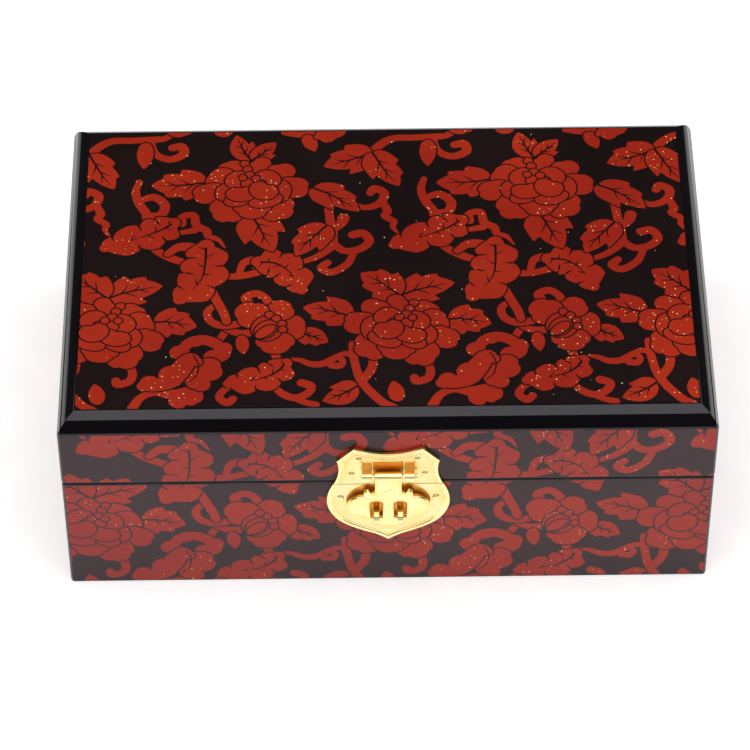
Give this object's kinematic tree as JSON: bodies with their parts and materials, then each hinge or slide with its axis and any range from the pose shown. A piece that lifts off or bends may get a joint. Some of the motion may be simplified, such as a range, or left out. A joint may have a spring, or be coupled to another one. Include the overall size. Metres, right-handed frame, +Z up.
{
  "type": "lacquered jewellery box",
  "caption": "Rectangular lacquered wooden box with a rear-hinged mirror lid, a shield-shaped hasp for a padlock and a velvet-lined lift-out tray with ring rolls.",
  "frame": {"origin": "centre of the flat underside of the case, which stands on the table", "axes": "+X to the right along the length, -Y out of the front face that carries the hasp, +Z up"},
  "size_m": [0.25, 0.1721, 0.094],
  "materials": {
    "black_lacquer": "glossy black lacquer over wood, with a vermilion peony scroll and gold flecks on the outer faces",
    "gilt_metal": "bright gilt plating, polished rims and finely dotted fields",
    "velvet": "short crimson velvet glued over card and foam",
    "mirror_glass": "flat silvered glass"
  },
  "bodies": {
    "case": {"base_front_board": "black_lacquer", "base_right_board": "black_lacquer", "base_back_board": "black_lacquer", "base_left_board": "black_lacquer", "base_floor_board": "black_lacquer", "base_floor_pad": "velvet", "base_front_lining": "velvet", "base_right_lining": "velvet", "base_back_lining": "velvet", "base_left_lining": "velvet", "tray_ledge_left": "velvet", "tray_ledge_right": "velvet", "hinge_left_base_leaf": "gilt_metal", "hinge_left_base_screw_1": "gilt_metal", "hinge_left_base_screw_2": "gilt_metal", "hinge_left_pin": "gilt_metal", "hinge_right_base_leaf": "gilt_metal", "hinge_right_base_screw_1": "gilt_metal", "hinge_right_base_screw_2": "gilt_metal", "hinge_right_pin": "gilt_metal", "hasp_lower_plate": "gilt_metal", "hasp_staple_left": "gilt_metal", "hasp_staple_right": "gilt_metal", "lower_plate_nail_1": "gilt_metal", "lower_plate_nail_2": "gilt_metal"},
    "lid": {"lid_front_board": "black_lacquer", "lid_right_board": "black_lacquer", "lid_back_board": "black_lacquer", "lid_left_board": "black_lacquer", "lid_top_board": "black_lacquer", "lid_top_lining": "velvet", "lid_front_lining": "velvet", "lid_right_lining": "velvet", "lid_back_lining": "velvet", "lid_left_lining": "velvet", "mirror_glass": "mirror_glass", "mirror_frame": "velvet", "hinge_left_lid_leaf": "gilt_metal", "hinge_left_lid_screw_1": "gilt_metal", "hinge_left_lid_screw_2": "gilt_metal", "hinge_right_lid_leaf": "gilt_metal", "hinge_right_lid_screw_1": "gilt_metal", "hinge_right_lid_screw_2": "gilt_metal", "hasp_upper_plate": "gilt_metal", "hasp_pin": "gilt_metal", "upper_plate_nail_1": "gilt_metal", "upper_plate_nail_2": "gilt_metal", "upper_plate_nail_3": "gilt_metal", "upper_plate_nail_4": "gilt_metal"},
    "flap": {"hasp_flap": "gilt_metal"},
    "tray": {"tray_shell": "velvet", "tray_long_divider": "velvet", "tray_right_divider": "velvet", "tray_left_divider": "velvet", "ring_roll_1": "velvet", "ring_roll_2": "velvet", "ring_roll_3": "velvet", "ring_roll_4": "velvet", "ring_roll_5": "velvet"}
  },
  "joints": [
    {"name": "lid_hinge", "type": "hinge", "parent": "case", "child": "lid", "pos_m": [0, 0.0785, 0.0589], "axis": [-1, 0, 0], "range_deg": [0, 100]},
    {"name": "hasp_hinge", "type": "hinge", "parent": "lid", "child": "flap", "pos_m": [0, -0.0854, 0.0657], "axis": [-1, 0, 0], "range_deg": [0, 175]},
    {"name": "tray_lift", "type": "slide", "parent": "case", "child": "tray", "axis": [0, 0, 1], "range_m": [0, 0.02]}
  ]
}
